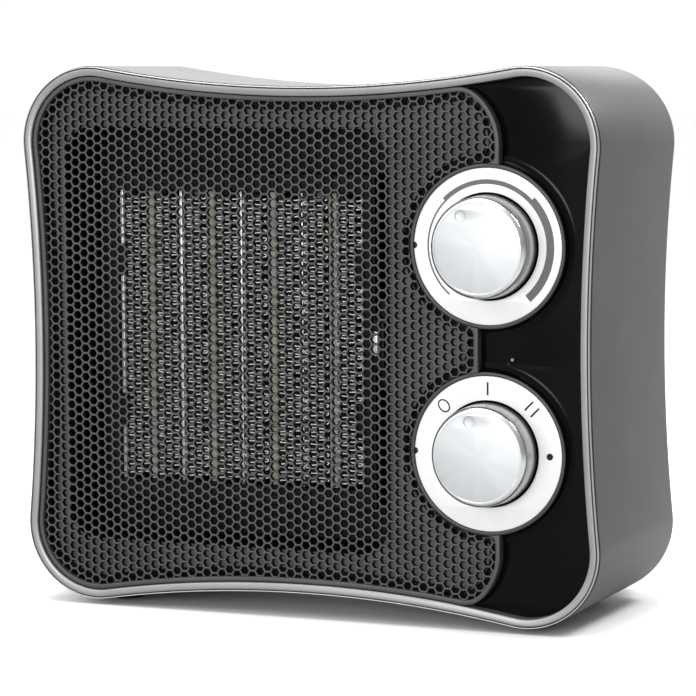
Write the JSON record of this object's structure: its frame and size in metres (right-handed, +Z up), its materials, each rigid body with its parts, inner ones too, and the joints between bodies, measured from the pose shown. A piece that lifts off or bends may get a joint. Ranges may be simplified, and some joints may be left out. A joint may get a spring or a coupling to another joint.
{
  "type": "ceramic fan heater",
  "caption": "Compact ceramic fan heater: waisted grey sleeve, black hexagon grille over a finned ceramic element, two round dials with knobs, fan and motor inside.",
  "frame": {"origin": "on the table under the middle of the heater's box", "axes": "+X to the right seen from the front, -Y out of the front grille, +Z up"},
  "size_m": [0.246, 0.1234, 0.214],
  "materials": {
    "sleeve_paint": "satin metallic lacquer, gunmetal grey",
    "trim_metal": "satin silver",
    "gloss_black": "high gloss black",
    "grille_black": "fine satin black",
    "cover_plastic": "fine textured black",
    "soft_black": "matt rubber",
    "dial_silver": "fine satin silver with dark printed marks",
    "knob_metal": "spun face with a polished bevel",
    "steel": "bright zinc plated",
    "bakelite": "moulded thermoset",
    "lamp_lens": "clear amber",
    "heat_plastic": "glass filled black",
    "fan_plastic": "moulded dark grey",
    "rotor_metal": "turned",
    "lamination": "stacked sheet, blued",
    "copper": "enamelled wire",
    "bronze": "sintered",
    "bright_aluminium": "bright rolled strip",
    "ceramic": "matt beige ceramic"
  },
  "bodies": {
    "housing": {"main_shell": "sleeve_paint", "front_trim": "trim_metal", "front_panel": "gloss_black", "grille": "grille_black", "rear_cover": "cover_plastic", "cover_posts": "cover_plastic", "cord_gland": "soft_black", "foot_front_left": "soft_black", "foot_front_right": "soft_black", "foot_rear_left": "soft_black", "foot_rear_right": "soft_black", "thermostat_dial": "dial_silver", "switch_dial": "dial_silver", "thermostat_body": "bakelite", "switch_body": "bakelite", "control_nuts": "steel", "pilot_lamp": "lamp_lens", "air_duct": "heat_plastic", "fan_shroud": "heat_plastic", "element_frame": "heat_plastic", "thermal_cutout": "heat_plastic", "cutout_contact": "steel", "element_terminals": "steel", "stator": "lamination", "motor_coil": "copper", "front_bracket": "steel", "rear_bracket": "steel", "front_bush": "bronze", "rear_bush": "bronze", "motor_screws": "steel", "cover_screws": "steel", "electrode_plate_1": "bright_aluminium", "electrode_plate_2": "bright_aluminium", "electrode_plate_3": "bright_aluminium", "electrode_plate_4": "bright_aluminium", "electrode_plate_5": "bright_aluminium", "fin_strip_1": "bright_aluminium", "fin_strip_2": "bright_aluminium", "fin_strip_3": "bright_aluminium", "fin_strip_4": "bright_aluminium", "fin_strip_5": "bright_aluminium", "fin_strip_6": "bright_aluminium", "fin_strip_7": "bright_aluminium", "fin_strip_8": "bright_aluminium", "ceramic_row_1": "ceramic", "ceramic_row_2": "ceramic", "ceramic_row_3": "ceramic", "ceramic_row_4": "ceramic"},
    "thermostat_control": {"thermostat_knob": "knob_metal", "thermostat_spindle": "steel"},
    "switch_control": {"switch_knob": "knob_metal", "switch_spindle": "steel"},
    "fan_rotor": {"fan": "fan_plastic", "rotor": "rotor_metal", "motor_shaft": "steel"}
  },
  "joints": [
    {"name": "thermostat_turn", "type": "hinge", "parent": "housing", "child": "thermostat_control", "pos_m": [0.0756, -0.05225, 0.1464], "axis": [0, 1, 0], "range_deg": [-111.4, 168.6]},
    {"name": "switch_turn", "type": "hinge", "parent": "housing", "child": "switch_control", "pos_m": [0.0756, -0.05225, 0.068], "axis": [0, 1, 0], "range_deg": [-31.3, 103.7]},
    {"name": "fan_spin", "type": "hinge", "parent": "housing", "child": "fan_rotor", "pos_m": [-0.0352, 0.00775, 0.108], "axis": [0, 1, 0], "continuous": true}
  ]
}
